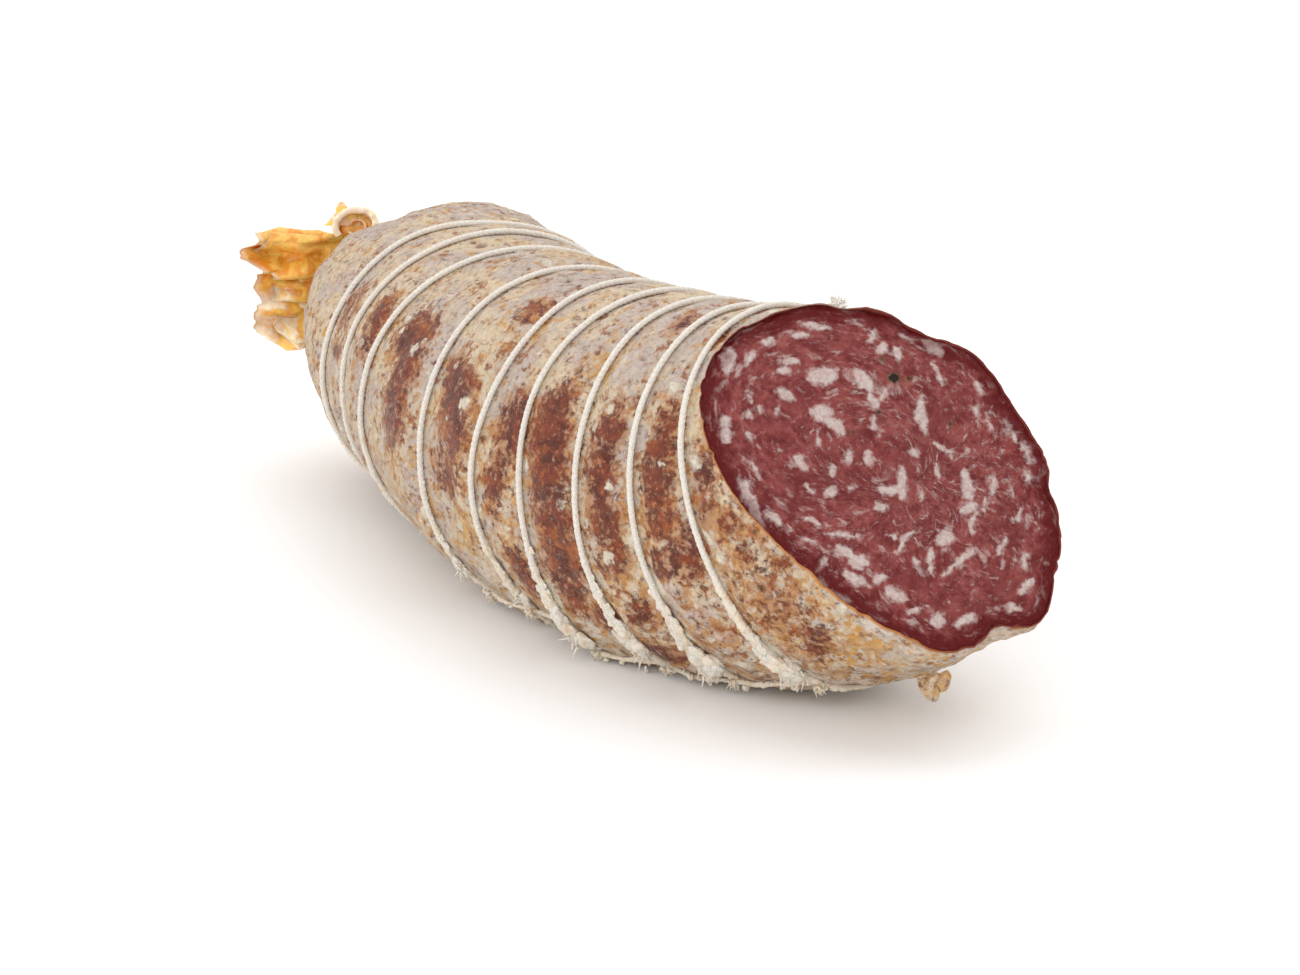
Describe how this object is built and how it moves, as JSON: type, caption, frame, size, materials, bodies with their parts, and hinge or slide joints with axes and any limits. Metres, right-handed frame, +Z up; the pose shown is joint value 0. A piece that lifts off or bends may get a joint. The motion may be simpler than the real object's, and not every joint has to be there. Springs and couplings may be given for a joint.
{
  "type": "cured sausage",
  "caption": "Half of an air-dried salami lying on its side: bound with twine, tied at one end with a flared casing tail, cut on a slant at the other.",
  "frame": {"origin": "on the table, below the middle of the object's box", "axes": "+X from the tied end to the cut end, +Z up; -Y is the side that bows out"},
  "size_m": [0.2909, 0.0932, 0.0904],
  "materials": {
    "casing": "dry casing with a grey-beige mould bloom over red-brown meat",
    "meat": "cut cured meat, deep red with pinkish-white fat",
    "twine": "off-white cotton twine, dusted with mould",
    "dry_casing": "dry translucent casing, amber to cream"
  },
  "bodies": {
    "root": {"sausage_body": "casing", "twine_loop_1": "twine", "twine_loop_2": "twine", "twine_loop_3": "twine", "twine_loop_4": "twine", "twine_loop_5": "twine", "twine_loop_6": "twine", "twine_loop_7": "twine", "twine_loop_8": "twine", "twine_loop_9": "twine", "twine_lengthwise": "twine", "twine_tie_1": "twine", "twine_tie_2": "twine", "twine_fray": "twine", "casing_end": "dry_casing", "casing_curl": "dry_casing", "casing_scrap": "dry_casing"}
  },
  "joints": []
}
